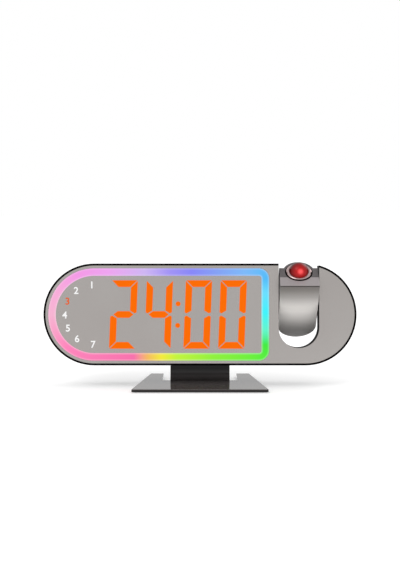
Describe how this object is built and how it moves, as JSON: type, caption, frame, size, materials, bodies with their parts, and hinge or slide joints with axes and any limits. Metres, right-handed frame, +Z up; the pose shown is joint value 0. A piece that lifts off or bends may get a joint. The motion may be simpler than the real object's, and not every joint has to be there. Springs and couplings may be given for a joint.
{
  "type": "projection alarm clock",
  "caption": "Mirror-faced digital alarm clock on a bent sheet stand, with a colour light ring and a tilting projector in an open slot.",
  "frame": {"origin": "middle of the footprint, on the surface that the clock stands on", "axes": "+Z up, the display faces -Y, +X to the viewer's right, where the projector is"},
  "size_m": [0.206, 0.0628, 0.0823],
  "materials": {
    "mirror_face": "mirror-coated acrylic",
    "ring_light": "lit diffuser",
    "orange_light": "lit segments",
    "white_plastic": "matte",
    "circuit_board": "solder mask",
    "screw_steel": "zinc plated",
    "black_gloss": "gloss",
    "black_satin": "fine texture",
    "key_black": "satin",
    "bright_can": "drawn",
    "cell_steel": "nickel plated",
    "stand_gloss": "gloss",
    "grey_rubber": "matte",
    "nylon": "moulded",
    "silver_shell": "satin silver lacquer",
    "graphite_shell": "satin",
    "clear_lens": "polished",
    "pin_steel": "ground",
    "silver_ring": "bright",
    "red_lens": "tinted, polished"
  },
  "bodies": {
    "root": {"fascia_panel": "mirror_face", "light_ring": "ring_light", "display_lens": "mirror_face", "time_digits": "orange_light", "digit_reflector": "white_plastic", "display_board": "circuit_board", "digit_leds": "white_plastic", "ring_leds": "white_plastic", "display_screws": "screw_steel", "front_housing": "black_gloss", "rear_cover": "black_satin", "slot_liner": "black_satin", "housing_screws": "screw_steel", "main_board": "circuit_board", "main_board_screws": "screw_steel", "key_switches": "black_satin", "snooze_switches": "black_satin", "control_chips": "black_satin", "board_header": "black_satin", "capacitors": "bright_can", "clock_crystal": "bright_can", "buzzer": "black_satin", "power_socket": "black_satin", "cell_holder": "black_satin", "coin_cell": "cell_steel", "stand": "stand_gloss", "stand_screws": "screw_steel", "anti_slip_mat": "grey_rubber", "left_wing_pad": "grey_rubber", "right_wing_pad": "grey_rubber", "pivot_bush_left": "nylon", "pivot_bush_right": "nylon"},
    "projector": {"projector_front_shell": "silver_shell", "projector_rear_shell": "graphite_shell", "projector_screws": "screw_steel", "optics_tube": "black_satin", "condenser_lens": "clear_lens", "time_slide": "clear_lens", "lamp_board": "circuit_board", "projector_led": "red_lens", "pivot_pin_left": "pin_steel", "pivot_pin_right": "pin_steel", "friction_washer": "pin_steel", "pin_clip": "pin_steel"},
    "focus": {"focus_ring": "silver_ring"},
    "lens": {"projection_lens": "red_lens"},
    "cap": {"battery_cap": "black_satin"},
    "snooze": {"snooze_bar": "key_black"},
    "mode_key_body": {"mode_key": "key_black"},
    "set_key_body": {"set_key": "key_black"},
    "up_key_body": {"up_key": "key_black"},
    "down_key_body": {"down_key": "key_black"},
    "alarm_key_body": {"alarm_key": "key_black"}
  },
  "joints": [
    {"name": "projector_tilt", "type": "hinge", "parent": "root", "child": "projector", "pos_m": [0.0651, 0.00229, 0.05779], "axis": [1, 0, 0], "range_deg": [-130, 50]},
    {"name": "focus_turn", "type": "hinge", "parent": "projector", "child": "focus", "pos_m": [0.0651, 0.00655, 0.06078], "axis": [0, -0.5736, 0.8192], "range_deg": [-135, 135]},
    {"name": "lens_slide", "type": "slide", "parent": "projector", "child": "lens", "axis": [0, -0.5736, 0.8192], "range_m": [-0.001, 0.001]},
    {"name": "battery_cap_turn", "type": "hinge", "parent": "root", "child": "cap", "pos_m": [0.024, 0.01915, 0.04166], "axis": [0, 0.9962, -0.0872], "range_deg": [0, 90]},
    {"name": "snooze_press", "type": "slide", "parent": "root", "child": "snooze", "axis": [0, -0.0872, -0.9962], "range_m": [0, 0.0008], "stiffness_N_per_m": 1500, "springref_m": -0.0003},
    {"name": "mode_press", "type": "slide", "parent": "root", "child": "mode_key_body", "axis": [0, -0.9962, 0.0872], "range_m": [0, 0.0005], "stiffness_N_per_m": 2000, "springref_m": -0.0002},
    {"name": "set_press", "type": "slide", "parent": "root", "child": "set_key_body", "axis": [0, -0.9962, 0.0872], "range_m": [0, 0.0005], "stiffness_N_per_m": 2000, "springref_m": -0.0002},
    {"name": "up_press", "type": "slide", "parent": "root", "child": "up_key_body", "axis": [0, -0.9962, 0.0872], "range_m": [0, 0.0005], "stiffness_N_per_m": 2000, "springref_m": -0.0002},
    {"name": "down_press", "type": "slide", "parent": "root", "child": "down_key_body", "axis": [0, -0.9962, 0.0872], "range_m": [0, 0.0005], "stiffness_N_per_m": 2000, "springref_m": -0.0002},
    {"name": "alarm_press", "type": "slide", "parent": "root", "child": "alarm_key_body", "axis": [0, -0.9962, 0.0872], "range_m": [0, 0.0005], "stiffness_N_per_m": 2000, "springref_m": -0.0002}
  ],
  "couplings": [
    {"joint": "lens_slide", "follows": "focus_turn", "m_per_rad": 0.000424}
  ]
}
